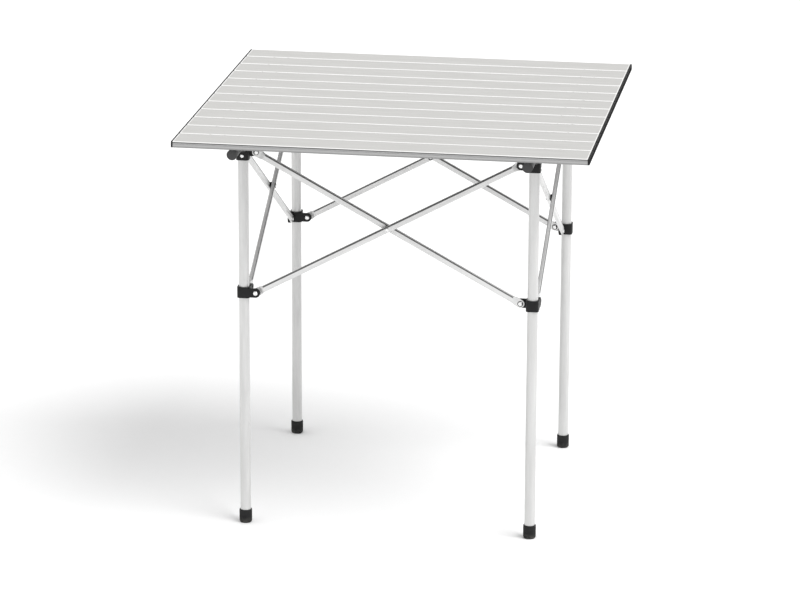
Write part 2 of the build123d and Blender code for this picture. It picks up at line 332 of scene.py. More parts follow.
@dataclass(frozen=True)
class DrawnMetal:
    """Satin aluminium with faint drawing lines along its length and soft handling marks."""

    name: str
    colour: Colour
    shade: Colour
    along: Euler = (0.0, 0.0, 0.0)
    roughness: float = 0.38
    metallic: float = 0.35
    line_depth: float = 0.00003
    line_scale: float = 900.0
    streak_scale: float = 130.0

    def grain(self, graph: Graph) -> tuple[Value, Value, Value]:
        """The drawing lines, the broader streaks and the handling marks."""
        lines = graph.noise(graph.place(self.along, (40.0, 1.0, 1.0)), self.line_scale, 2.0)
        streaks = graph.noise(graph.place(self.along, (14.0, 1.0, 1.0)), self.streak_scale, 3.0)
        marks = graph.noise(graph.place(), 28.0, 5.0)
        return lines, streaks, marks.band(0.52, 0.72)

    def skin_colour(self, graph: Graph, grain: tuple[Value, Value, Value]) -> bpy.types.NodeSocket:
        """The metal's colour with its grain in it."""
        lines, streaks, smudges = grain
        drawn = streaks.band(0.3, 0.7) * 0.55 + lines * 0.35
        colour = graph.mix(drawn, self.colour, self.shade)
        return graph.mix(smudges * 0.16, colour, self.shade)

    def finish(
        self,
        graph: Graph,
        grain: tuple[Value, Value, Value],
        colour: bpy.types.NodeSocket,
        polish: Number = 0.0,
    ) -> bpy.types.Material:
        """Sets the shader.

        Args:
            graph: the material's graph.
            grain: its lines, streaks and marks.
            colour: its colour.
            polish: how much smoother than its roughness it is, from 0.

        Returns:
            The material.
        """
        lines, streaks, smudges = grain
        return graph.dress(
            Base_Color=colour,
            Metallic=self.metallic,
            Roughness=(lines - 0.5) * 0.16 + smudges * 0.08 + self.roughness - polish,
            Normal=graph.bump(lines * 0.7 + streaks * 0.5, self.line_depth),
        )

    def build(self) -> bpy.types.Material:
        """Makes the material."""
        graph = Graph(self.name)
        grain = self.grain(graph)
        return self.finish(graph, grain, self.skin_colour(graph, grain))


@dataclass(frozen=True)
class ExtrudedSlat(DrawnMetal):
    """Slats that are satin on top, with a painted highlight on their shoulders and ends and painted shade on
    their sides and in their joints.
    """

    # painted highlight: the colour on the rounded top shoulders and along the ends
    bright: Colour = (0.95, 0.95, 0.94)
    # painted shade: the colour of the slat's sides
    dull: Colour = (0.40, 0.40, 0.40)
    # painted shade: the sides grow darker towards the bottom
    deep: Colour = (0.26, 0.26, 0.26)
    # painted shadow in the joint, just below the shoulder
    crease: Colour = (0.05, 0.05, 0.05)
    top: float = 0.7
    half_length: float = 0.347
    # how far in from each end the painted highlight reaches, and over what width it fades
    rubbed_end: float = 0.0022
    rubbed_fade: float = 0.001

    def build(self) -> bpy.types.Material:
        """Makes the material."""
        graph = Graph(self.name)
        grain = self.grain(graph)
        where = graph.place()
        drop = self.top - graph.height_of(where)
        # painted highlight on the rounded top shoulder, just below the top face
        shoulder_highlight = drop.band(0.00005, 0.0003) * drop.band(0.0013, 0.0009)
        # painted shade: everything more than about 1.2 mm below the top takes the darker side colour
        joint = drop.band(0.0010, 0.0014)
        # painted shadow: a dark line in the joint between about 1 and 3 mm below the top
        crease = joint * drop.band(0.0030, 0.0024)
        start = self.half_length - self.rubbed_end
        # painted highlight along both ends of the slat
        ends = graph.height_of(where, "X").magnitude().band(start, start + self.rubbed_fade)
        # painted shade on the sides, darker towards the bottom
        side = graph.mix(drop.band(0.007, 0.0095), self.dull, self.deep)
        body = graph.mix(joint, self.skin_colour(graph, grain), side)
        body = graph.mix(crease * 0.9, body, self.crease)
        # the painted highlight of the shoulders and the ends, laid over the body colour
        highlight_and_scuff = shoulder_highlight * 0.9 + (1.0 - joint) * ends * 0.8
        return self.finish(graph, grain, graph.mix(highlight_and_scuff, body, self.bright), shoulder_highlight * 0.14)


@dataclass(frozen=True)
class RolledBar(DrawnMetal):
    """A bar rolled from strip, with a painted line of shade below its upper edge."""

    middle: Triple = (0.0, 0.0, 0.0)
    # painted shade: the colour of the dark line below the upper edge
    seam: Colour = (0.02, 0.02, 0.02)
    seam_height: float = 0.0036
    seam_half: float = 0.0006
    seam_ends: float = 0.240

    def build(self) -> bpy.types.Material:
        """Makes the material."""
        graph = Graph(self.name)
        grain = self.grain(graph)
        where = graph.place(self.along, (1.0, 1.0, 1.0), self.middle)
        off = (graph.height_of(where) - self.seam_height).magnitude()
        run = graph.height_of(where, "X").magnitude()
        face = graph.height_of(where, "Y").magnitude().band(0.0022, 0.0030)
        ends = run.band(self.seam_ends + 0.002, self.seam_ends)
        # painted shade: a dark line along the outward faces below the upper edge, stopping short of the ends
        line = off.band(self.seam_half, self.seam_half * 0.55) * ends * face
        colour = graph.mix(line * 0.9, self.skin_colour(graph, grain), self.seam)
        return self.finish(graph, grain, colour, line * -0.2)


@dataclass(frozen=True)
class MouldedPlastic:
    """Hard nylon with the fine grain of its mould and scuffs that show a little lighter."""

    name: str
    colour: Colour
    scuff: Colour
    roughness: float = 0.42
    shine: float = 0.18
    grain_scale: float = 1600.0
    grain_depth: float = 0.00012

    def build(self) -> bpy.types.Material:
        """Makes the material."""
        graph = Graph(self.name)
        where = graph.place()
        grain = graph.noise(where, self.grain_scale, 2.0)
        flow = graph.noise(where, 90.0, 4.0)
        highlight_and_scuff = graph.noise(graph.place((0.4, 0.9, 0.3), (9.0, 1.0, 1.0)), 700.0, 3.0)
        scuffs = highlight_and_scuff.band(0.6, 0.78) * flow.band(0.45, 0.65)
        return graph.dress(
            Base_Color=graph.mix(scuffs * 0.55 + flow * 0.12, self.colour, self.scuff),
            Roughness=(grain - 0.5) * 0.2 + flow * 0.1 + self.roughness,
            Specular_IOR_Level=self.shine,
            Normal=graph.bump(grain, self.grain_depth),
        )


@dataclass(frozen=True)
class FootRubber:
    """Matt rubber that has picked up dust near the floor."""

    name: str
    colour: Colour
    dust: Colour
    dust_height: float = 0.012

    def build(self) -> bpy.types.Material:
        """Makes the material."""
        graph = Graph(self.name)
        where = graph.place()
        grain = graph.noise(where, 1100.0, 3.0)
        patches = graph.noise(where, 160.0, 4.0)
        low = graph.height_of(where).band(self.dust_height, 0.0)
        dusty = low * patches.band(0.35, 0.65) * 0.5
        return graph.dress(
            Base_Color=graph.mix(dusty, self.colour, self.dust),
            Roughness=dusty * 0.2 + grain * 0.15 + 0.6,
            Specular_IOR_Level=0.3,
            Normal=graph.bump(grain, 0.00015),
        )


@dataclass(frozen=True)
class TurnedSteel:
    """Bright rivets with small tool marks and a dull bloom."""

    name: str
    colour: Colour
    tarnish: Colour

    def build(self) -> bpy.types.Material:
        """Makes the material."""
        graph = Graph(self.name)
        where = graph.place()
        fine = graph.noise(where, 2400.0, 2.0)
        bloom = graph.noise(where, 520.0, 4.0)
        return graph.dress(
            Base_Color=graph.mix(bloom.band(0.5, 0.75) * 0.6, self.colour, self.tarnish),
            Metallic=1.0,
            Roughness=bloom * 0.22 + fine * 0.08 + 0.1,
            Normal=graph.bump(fine, 0.00002),
        )


@dataclass(frozen=True)
class BraidedElastic:
    """White elastic cord with a woven cover."""

    name: str
    colour: Colour
    shadow: Colour

    def build(self) -> bpy.types.Material:
        """Makes the material."""
        graph = Graph(self.name)
        weave = graph.node(
            "ShaderNodeTexVoronoi",
            {"feature": "DISTANCE_TO_EDGE"},
            {"Vector": graph.place(), "Scale": 1500.0},
        )
        threads = Value(graph, weave.outputs["Distance"]).band(0.0, 0.25)
        return graph.dress(
            Base_Color=graph.mix(threads, self.shadow, self.colour),
            Roughness=threads * -0.15 + 0.9,
            Normal=graph.bump(threads, 0.0002),
        )


@dataclass(frozen=True)
class StudioFloor:
    """Pale seamless paper."""

    name: str
    colour: Colour
    tooth: Colour

    def build(self) -> bpy.types.Material:
        """Makes the material."""
        graph = Graph(self.name)
        fibre = graph.noise(graph.place(), 60.0, 4.0)
        return graph.dress(
            Base_Color=graph.mix(fibre * 0.5, self.colour, self.tooth),
            Roughness=fibre * 0.1 + 0.85,
            Specular_IOR_Level=0.1,
        )


# ---- mesh building -------------------------------------------------------

def new_piece(name: str, mesh: bpy.types.Mesh) -> bpy.types.Object:
    """Puts a mesh in the scene as an object at the origin."""
    piece = bpy.data.objects.new(name, mesh)
    bpy.context.scene.collection.objects.link(piece)
    return piece


def finish_mesh(name: str, bm: bmesh.types.BMesh, sharp_degrees: float = 35.0) -> bpy.types.Mesh:
    """Turns a built mesh into data with outward faces and smooth shading.

    Args:
        name: the mesh's name.
        bm: the built mesh, which is freed.
        sharp_degrees: edges that turn more than this stay sharp.

    Returns:
        The mesh.
    """
    bmesh.ops.remove_doubles(bm, verts=bm.verts, dist=1e-7)
    bmesh.ops.recalc_face_normals(bm, faces=bm.faces)
    mesh = bpy.data.meshes.new(name)
    bm.to_mesh(mesh)
    bm.free()
    mesh.polygons.foreach_set("use_smooth", [True] * len(mesh.polygons))
    mesh.set_sharp_from_angle(angle=math.radians(sharp_degrees))
    return mesh


def skin(bm: bmesh.types.BMesh, loops: Sequence[Sequence[Vector]], joined: bool = False) -> None:
    """Covers a run of equal closed loops with faces.

    Args:
        bm: the mesh that takes the faces.
        loops: closed loops of the same number of points.
        joined: whether the last loop joins the first, instead of both being closed off.
    """
    rings = [[bm.verts.new(point) for point in loop] for loop in loops]
    count = len(rings[0])
    pairs = list(zip(rings, rings[1:]))
    if joined:
        pairs.append((rings[-1], rings[0]))
    for one, two in pairs:
        for i in range(count):
            after = (i + 1) % count
            bm.faces.new((one[i], one[after], two[after], two[i]))
    if not joined:
        bm.faces.new(rings[0][::-1])
        bm.faces.new(rings[-1])


def turned(profile: Sequence[tuple[float, float]], segments: int) -> list[list[Vector]]:
    """Loops of a turned shape round +Z.

    Args:
        profile: radius and height of each step, in millimetres.
        segments: faces round the shape.

    Returns:
        One loop for each step.
    """
    angles = [2 * math.pi * i / segments for i in range(segments)]
    return [[Vector((r * math.cos(a), r * math.sin(a), z)) * MM for a in angles] for r, z in profile]


def rounded_outline(width: float, height: float, radius: float, steps: int) -> list[tuple[float, float]]:
    """Points of a rounded rectangle about its middle, going round once.

    Args:
        width: full width.
        height: full height.
        radius: corner radius.
        steps: points on each corner, less one.

    Returns:
        The points.
    """
    points = []
    for quarter, (sx, sy) in enumerate(((1, 1), (-1, 1), (-1, -1), (1, -1))):
        for step in range(steps + 1):
            angle = math.pi / 2 * (quarter + step / steps)
            points.append((
                sx * (width / 2 - radius) + radius * math.cos(angle),
                sy * (height / 2 - radius) + radius * math.sin(angle),
            ))
    return points


def tube(bm: bmesh.types.BMesh, path: Sequence[Vector], radius: float, segments: int) -> None:
    """A closed round rod along a level path.

    Args:
        bm: the mesh that takes the rod.
        path: its middle line, at one height.
        radius: the rod's radius.
        segments: faces round it.
    """
    loops = []
    for i, point in enumerate(path):
        ahead = path[min(i + 1, len(path) - 1)]
        behind = path[max(i - 1, 0)]
        side = (ahead - behind).normalized().cross(UP)
        loops.append([
            point + (side * math.cos(a) + UP * math.sin(a)) * radius
            for a in (2 * math.pi * k / segments for k in range(segments))
        ])
    skin(bm, loops)


def join_meshes(name: str, meshes: Iterable[bpy.types.Mesh]) -> bpy.types.Mesh:
    """One mesh out of several that share a finish.

    Args:
        name: the joined mesh's name.
        meshes: the meshes, which are removed.

    Returns:
        The joined mesh.
    """
    bm = bmesh.new()
    material = None
    for mesh in meshes:
        bm.from_mesh(mesh)
        material = mesh.materials[0]
        bpy.data.meshes.remove(mesh)
    joined = finish_mesh(name, bm)
    joined.materials.append(material)
    return joined


class Scatter:
    """A Geometry Nodes tree that sets copies of one template on points, each with its own facing."""

    def __init__(self) -> None:
        """Builds the tree and keeps the identifiers of its inputs."""
        self.tree = bpy.data.node_groups.new("set_on_points", "GeometryNodeTree")
        face = self.tree.interface
        face.new_socket(name="Geometry", in_out="INPUT", socket_type="NodeSocketGeometry")
        self.inputs = {
            label: face.new_socket(name=label, in_out="INPUT", socket_type=kind).identifier
            for label, kind in (
                ("Template", "NodeSocketObject"),
                ("Finish", "NodeSocketMaterial"),
                ("Size", "NodeSocketFloat"),
            )
        }
        face.new_socket(name="Geometry", in_out="OUTPUT", socket_type="NodeSocketGeometry")
        given = self._add("NodeGroupInput")
        facing = self._add("GeometryNodeInputNamedAttribute", data_type="FLOAT_VECTOR")
        facing.inputs["Name"].default_value = "facing"
        align = self._add("FunctionNodeAlignRotationToVector", axis="Z")
        source = self._add("GeometryNodeObjectInfo")
        copies = self._add("GeometryNodeInstanceOnPoints")
        real = self._add("GeometryNodeRealizeInstances")
        paint = self._add("GeometryNodeSetMaterial")
        result = self._add("NodeGroupOutput")
        for source_socket, target in (
            (given.outputs["Geometry"], copies.inputs["Points"]),
            (given.outputs["Template"], source.inputs["Object"]),
            (source.outputs["Geometry"], copies.inputs["Instance"]),
            (facing.outputs["Attribute"], align.inputs["Vector"]),
            (align.outputs["Rotation"], copies.inputs["Rotation"]),
            (given.outputs["Size"], copies.inputs["Scale"]),
            (copies.outputs["Instances"], real.inputs["Geometry"]),
            (real.outputs["Geometry"], paint.inputs["Geometry"]),
            (given.outputs["Finish"], paint.inputs["Material"]),
            (paint.outputs["Geometry"], result.inputs["Geometry"]),
        ):
            self.tree.links.new(source_socket, target)

    def _add(self, kind: str, **settings: str) -> bpy.types.Node:
        """Adds a node with its settings."""
        node = self.tree.nodes.new(kind)
        for key, value in settings.items():
            setattr(node, key, value)
        return node

    def place(
        self,
        loops: Sequence[Sequence[Vector]],
        spots: Sequence[tuple[Vector, Vector]],
        finish: bpy.types.Material,
        joined: bool = False,
    ) -> bpy.types.Mesh:
        """Sets copies of a turned template.

        Args:
            loops: the template's loops round +Z.
            spots: the place and the facing of each copy.
            finish: the copies' material.
            joined: whether the template's loops close into a ring.

        Returns:
            A plain mesh of all the copies.
        """
        bm = bmesh.new()
        skin(bm, loops, joined)
        template = new_piece("template", finish_mesh("template", bm))
        points = bpy.data.meshes.new("spots")
        points.from_pydata([spot for spot, _ in spots], [], [])
        facing = points.attributes.new("facing", "FLOAT_VECTOR", "POINT")
        facing.data.foreach_set("vector", [c for _, way in spots for c in way])
        carrier = new_piece("carrier", points)
        modifier = carrier.modifiers.new("copies", "NODES")
        modifier.node_group = self.tree
        modifier[self.inputs["Template"]] = template
        modifier[self.inputs["Finish"]] = finish
        modifier[self.inputs["Size"]] = 1.0
        ready = carrier.evaluated_get(bpy.context.evaluated_depsgraph_get())
        mesh = bpy.data.meshes.new_from_object(ready)
        carrier.modifiers.clear()
        for extra in (carrier, template):
            bpy.data.objects.remove(extra)
        return mesh


def softened(node: str, name: str, width: float, sharp_degrees: float = 32.0) -> bpy.types.Object:
    """A copy of a hard-edged CAD node with its edges rounded over.

    Args:
        node: the CAD node.
        name: the copy's name.
        width: how wide the rounded edge is, in metres.
        sharp_degrees: edges that turn more than this are rounded.

    Returns:
        The copy, which isn't yet riding on a body.
    """
    bm = bmesh.new()
    bm.from_mesh(frame["nodes"][node].data)
    bmesh.ops.remove_doubles(bm, verts=bm.verts, dist=2e-6)
    bmesh.ops.dissolve_limit(
        bm, angle_limit=math.radians(0.8), verts=bm.verts, edges=bm.edges
    )
    rough = new_piece(name + "_rough", finish_mesh(name, bm))
    bevel = rough.modifiers.new("edges", "BEVEL")
    bevel.width = width
    bevel.segments = 2
    bevel.limit_method = "ANGLE"
    bevel.angle_limit = math.radians(sharp_degrees)
    bevel.use_clamp_overlap = True
    ready = rough.evaluated_get(bpy.context.evaluated_depsgraph_get())
    mesh = bpy.data.meshes.new_from_object(ready)
    bpy.data.objects.remove(rough)
    mesh.polygons.foreach_set("use_smooth", [True] * len(mesh.polygons))
    mesh.set_sharp_from_angle(angle=math.radians(50.0))
    return new_piece(name, mesh)


def settle(piece: bpy.types.Object, body: str, finish: bpy.types.Material) -> bpy.types.Object:
    """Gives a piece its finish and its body.

    Args:
        piece: the piece, at the origin.
        body: the CAD body that it rides on.
        finish: its material.

    Returns:
        The same piece.
    """
    piece.data.materials.clear()
    piece.data.materials.append(finish)
    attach(piece, body)
    LOG.info("%s rides on %s: %d faces", piece.name, body, len(piece.data.polygons))
    return piece


def coat(node: str, finish: bpy.types.Material) -> None:
    """Gives a CAD node its finish.

    Args:
        node: the CAD node, which keeps its shape and place.
        finish: its material.
    """
    target = frame["nodes"][node]
    if not target.material_slots:
        target.data.materials.append(finish)
    for held in target.material_slots:
        held.material = finish
    LOG.info("%s keeps its shape, in %s", node, finish.name)


# ---- the table's sub-assemblies ------------------------------------------

@dataclass
class Finishes:
    """Every finish of the table, each made once."""

    slat: bpy.types.Material
    leg: bpy.types.Material
    rail: bpy.types.Material
    joint: bpy.types.Material
    fitting: bpy.types.Material
    cap: bpy.types.Material
    rubber: bpy.types.Material
    rivet: bpy.types.Material
    elastic: bpy.types.Material

    @classmethod
    def build(cls) -> "Finishes":
        """Makes the materials that more than one piece uses."""
        return cls(
            slat=ExtrudedSlat(
                "slat_anodised", (0.585, 0.58, 0.565), (0.51, 0.505, 0.49), roughness=0.42, metallic=0.25
            ).build(),
            leg=DrawnMetal(
                "leg_satin", (0.66, 0.66, 0.655), (0.55, 0.55, 0.545), (0.0, math.pi / 2, 0.0), 0.34
            ).build(),
            rail=DrawnMetal(
                "rail_satin", (0.66, 0.66, 0.66), (0.56, 0.56, 0.56), (0.0, 0.0, math.pi / 2), 0.36
            ).build(),
            joint=MouldedPlastic("joint_nylon", (0.009, 0.009, 0.0095), (0.07, 0.07, 0.07)).build(),
            fitting=MouldedPlastic(
                "fitting_nylon", (0.034, 0.034, 0.035), (0.11, 0.11, 0.11), roughness=0.5, shine=0.4
            ).build(),
            cap=MouldedPlastic("cap_nylon", (0.008, 0.008, 0.0085), (0.05, 0.05, 0.05), 0.55).build(),
            rubber=FootRubber("foot_rubber", (0.010, 0.010, 0.0105), (0.12, 0.115, 0.105)).build(),
            rivet=TurnedSteel("rivet_steel", (0.86, 0.86, 0.86), (0.55, 0.55, 0.54)).build(),
            elastic=BraidedElastic("white_elastic", (0.90, 0.90, 0.88), (0.55, 0.55, 0.53)).build(),
        )


@dataclass
class CrossingBar:
    """One flat-sided bar with the rivets it turns on and their black washers."""

    side: Side
    layer: Layer
    scatter: Scatter
    finishes: Finishes
    head_radius: float = 4.2
    end_low: float = 1.4
    end_high: float = 6.6
    cross_low: float = 12.9
    cross_high: float = 3.5
    cross_head: float = 3.0
    spacer: float = 2.0
    washer: float = 0.4

    @property
    def stem(self) -> str:
        """The start of the names of this bar's nodes."""
        return f"{self.side.label}_{self.layer.label}"

    @property
    def run(self) -> Vector:
        """Level direction from the bar's upper end to its lower end."""
        return self.side.along * -self.layer.value

    def pivots(self) -> tuple[Vector, Vector, Vector]:
        """The upper, middle and lower pivots, in the bar's own middle plane."""
        low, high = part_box(self.stem + "_rivets")
        size = high - low
        bar_low, bar_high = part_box(self.stem + "_brace")
        middle = (bar_low + bar_high) / 2
        head = 2 * self.head_radius * MM
        half_run = self.run * (abs(size.dot(self.run)) - head) / 2
        half_drop = UP * (size.z - head) / 2
        return middle - half_run + half_drop, middle, middle + half_run - half_drop

    def rivet_profile(self, grip: float, head: float = 3.8) -> list[tuple[float, float]]:
        """Steps of a double-headed tubular rivet.

        Args:
            grip: thickness it holds together, washers included.
            head: radius of its two heads.

        Returns:
            Radius and height of each step, in millimetres.
        """
        steps = [
            (0.4, 0.75), (0.95, 0.8), (1.15, 1.35), (1.7, 1.5),
            (2.6, 1.32), (3.4, 0.85), (3.8, 0.35), (3.8, 0.0),
        ]
        dome = [(r * head / steps[-1][0], z) for r, z in steps]
        shank = 1.95
        upper = [(r, grip + z) for r, z in dome] + [(shank, grip)]
        return [(shank, 0.0), *((r, -z) for r, z in reversed(dome))][::-1] + upper[::-1]

    def ring_profile(self, outer: float, thickness: float) -> list[tuple[float, float]]:
        """Steps of a washer with eased edges."""
        inner = 2.05
        ease = min(0.15, thickness / 3)
        return [
            (inner, 0.0), (outer - ease, 0.0), (outer, ease), (outer, thickness - ease),
            (outer - ease, thickness), (inner, thickness),
        ]

    def build(self) -> None:
        """Makes the rivets and washers, and dresses the bar."""
        upper, middle, lower = self.pivots()
        out = self.side.outward
        low, high = self.end_low, self.end_high
        if self.layer is Layer.INNER:
            low, high = high, low
        drop = (upper - lower).z
        tilt = math.atan2(drop, abs((lower - upper).dot(self.run)))
        lean = tilt if (self.run.x + self.run.y) > 0 else -tilt
        quarter = 0.0 if self.side.along.x else math.pi / 2
        outer = self.layer is Layer.OUTER
        bar_finish = RolledBar(
            self.stem + "_rolled", (0.74, 0.74, 0.735), (0.60, 0.60, 0.60), (0.0, lean, quarter), 0.32, 0.4,
            middle=tuple(middle),
            # where the painted shade line sits on each bar and how wide it is
            seam_height=0.0043 if outer else 0.0040,
            seam_half=0.0022 if outer else 0.0013,
        ).build()
        coat(self.stem + "_brace", bar_finish)

        pad = self.washer
        ends = [(p - out * (low + pad) * MM, out) for p in (upper, lower)]
        meshes = [self.scatter.place(
            turned(self.rivet_profile(low + high + 2 * pad), 28), ends, self.finishes.rivet
        )]
        washers = []
        for pivot in (upper, lower):
            washers.append((pivot + out * high * MM, out))
            washers.append((pivot - out * low * MM, -out))
        rings = [self.scatter.place(
            turned(self.ring_profile(4.9, pad), 28), washers, self.finishes.joint, True
        )]
        if self.layer is Layer.OUTER:
            cross = [(middle - out * (self.cross_low + pad) * MM, out)]
            meshes.append(self.scatter.place(
                turned(self.rivet_profile(self.cross_low + self.cross_high + pad, self.cross_head), 28),
                cross, self.finishes.rivet,
            ))
            rings.append(self.scatter.place(
                turned(self.ring_profile(6.0, self.spacer), 32),
                [(middle - out * self.cross_high * MM, -out)], self.finishes.joint, True,
            ))
            rings.append(self.scatter.place(
                turned(self.ring_profile(4.9, pad), 28),
                [(middle - out * self.cross_low * MM, -out)], self.finishes.joint, True,
            ))
        body = self.stem + "_bar"
        rivets = new_piece(self.stem + "_rivet_set", join_meshes(self.stem + "_rivet_set", meshes))
        settle(rivets, body, self.finishes.rivet)
        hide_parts(self.stem + "_rivets")
        rubber = new_piece(self.stem + "_washers", join_meshes(self.stem + "_washers", rings))
        settle(rubber, body, self.finishes.joint)


@dataclass
class CornerPost:
    """A leg with its hub, its sliding collar and its foot."""

    corner: Corner
    scatter: Scatter
    finishes: Finishes
    edge: float = 0.0007
    pin_height: float = 7.7
    pin_radius: float = 3.0

    def build(self) -> None:
        """Makes the corner's own pieces."""
        name = self.corner.label
        post = name + "_post"
        coat(name + "_leg", self.finishes.leg)
        for part, body in (("hub", post), ("collar", name + "_collar")):
            shell = softened(f"{name}_{part}", f"{name}_{part}_shell", self.edge)
            settle(shell, body, self.finishes.joint)
            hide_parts(f"{name}_{part}")
        self.build_foot(name, post)
        self.build_pin(name, post)

    def build_foot(self, name: str, post: str) -> None:
        """A ribbed rubber foot that closes the end of the leg."""
        low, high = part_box(name + "_foot")
        radius = (high.x - low.x) / 2 / MM
        height = (high.z - low.z) / MM
        profile = [(radius - 3.2, 0.0), (radius - 1.4, 0.5), (radius - 0.4, 1.8), (radius, 3.6)]
        for rib in range(4):
            start = 4.6 + rib * 2.6
            profile += [
                (radius, start), (radius - 0.5, start + 0.5),
                (radius - 0.5, start + 1.0), (radius, start + 1.5),
            ]
        profile += [
            (radius, height - 3.2), (radius - 0.2, height - 1.0), (radius - 0.8, height - 0.15),
            (radius - 1.5, height), (radius - 1.95, height - 0.3), (radius - 1.95, height - 16.0),
            (1.0, height - 16.0),
        ]
        middle = (low + high) / 2
        spot = [(Vector((middle.x, middle.y, low.z)), UP)]
        mesh = self.scatter.place(turned(profile, 40), spot, self.finishes.rubber)
        foot = new_piece(name + "_ribbed_foot", mesh)
        settle(foot, post, self.finishes.rubber)
        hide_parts(name + "_foot")

    def build_pin(self, name: str, post: str) -> None:
        """The bright pin that fixes the hub to the top of its leg."""
        low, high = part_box(name + "_leg")
        axis = (low + high) / 2
        hub_low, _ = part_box(name + "_hub")
        out = self.corner.side.outward
        half = (high.x - low.x) / 2 + 0.002
        face = Vector((axis.x, axis.y, hub_low.z + self.pin_height * MM)) + out * half
        r = self.pin_radius
        profile = [
            (0.3, 0.25), (0.8, 0.3), (1.1, 0.9), (r - 1.1, 1.0),
            (r - 0.4, 0.7), (r, 0.2), (r, -0.4), (0.5, -0.4),
        ]
        mesh = self.scatter.place(turned(profile[::-1], 24), [(face, out)], self.finishes.rivet)
        settle(new_piece(name + "_hub_pin", mesh), post, self.finishes.rivet)


@dataclass
class Rails:
    """The two tubes under the slats and their moulded end fittings."""

    finishes: Finishes
    edge: float = 0.0008

    def build(self) -> None:
        """Dresses the rails and softens the fittings."""
        for name in ("left_rail", "right_rail"):
            coat(name, self.finishes.rail)
        bodies = frame["record"]["behaviour"]["bodies"]
        body = next(b for b, nodes in bodies.items() if "rail_end_fittings" in nodes)
        shell = softened("rail_end_fittings", "rail_end_plugs", self.edge)
        settle(shell, body, self.finishes.fitting)
        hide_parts("rail_end_fittings")


@dataclass
class SlatCaps:
    """The two moulded caps of one slat, each with a sunk face between raised rims."""

    index: int
    finishes: Finishes
    flange: float = 3.0
    plug: float = 10.0
    radius: float = 2.5
    corner_steps: int = 5
    pocket: float = 1.6
    ribs: int = 5
    rib_pitch: float = 9.4
    rib_half: float = 0.8

    def build(self) -> None:
        """Makes both caps as one piece."""
        node = f"slat_{self.index:02d}_caps"
        low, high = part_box(node)
        bm = bmesh.new()
        for end in (-1, 1):
            self.add_cap(bm, low, high, end)
        piece = new_piece(f"slat_{self.index:02d}_end_caps", finish_mesh(node, bm))
        settle(piece, f"top_slat_{self.index:02d}", self.finishes.cap)
        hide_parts(node)

    def add_cap(self, bm: bmesh.types.BMesh, low: Vector, high: Vector, end: int) -> None:
        """Adds one cap.

        Args:
            bm: the mesh that takes it.
            low: lowest corner of both caps.
            high: highest corner of both caps.
            end: -1 for the left cap and 1 for the right one.
        """
        middle = (low + high) / 2
        width = (high.y - low.y) / MM
        height = (high.z - low.z) / MM
        outer_face = high.x if end > 0 else low.x
        steps = [
            (self.flange + self.plug, 2.8, 0.9), (self.flange, 2.6, 0.9), (self.flange, 0.0, self.radius),
            (0.5, 0.0, self.radius), (0.12, 0.18, self.radius), (0.0, 0.5, self.radius),
            (0.0, 1.2, 1.6), (0.15, 1.4, 1.5), (self.pocket, 1.7, 1.3),
        ]
        loops = []
        for depth, inset, radius in steps:
            outline = rounded_outline(width - 2 * inset, height - 2 * inset, radius, self.corner_steps)
            x = outer_face - end * depth * MM
            loops.append([Vector((x, middle.y + u * MM, middle.z + v * MM)) for u, v in outline])
        skin(bm, loops)
        for rib in range(self.ribs):
            y = middle.y + (rib + 0.5 - self.ribs / 2) * self.rib_pitch * MM
            self.add_rib(bm, Vector((outer_face, y, middle.z)), end, height / 2 - 1.5)

    def add_rib(self, bm: bmesh.types.BMesh, place: Vector, end: int, half_height: float) -> None:
        """Adds one upright rib across the sunk face, with eased edges.

        Args:
            bm: the mesh that takes it.
            place: the middle of the rib, at the cap's outer face.
            end: which end of the slat the cap is on.
            half_height: half the rib's height, in millimetres.
        """
        loops = []
        for depth, ease in ((self.pocket + 0.3, 0.0), (0.6, 0.0), (0.3, 0.25)):
            half = self.rib_half - ease
            corners = ((-half, -half_height), (half, -half_height), (half, half_height), (-half, half_height))
            x = place.x - end * depth * MM
            loops.append([Vector((x, place.y + u * MM, place.z + v * MM)) for u, v in corners])
        skin(bm, loops)


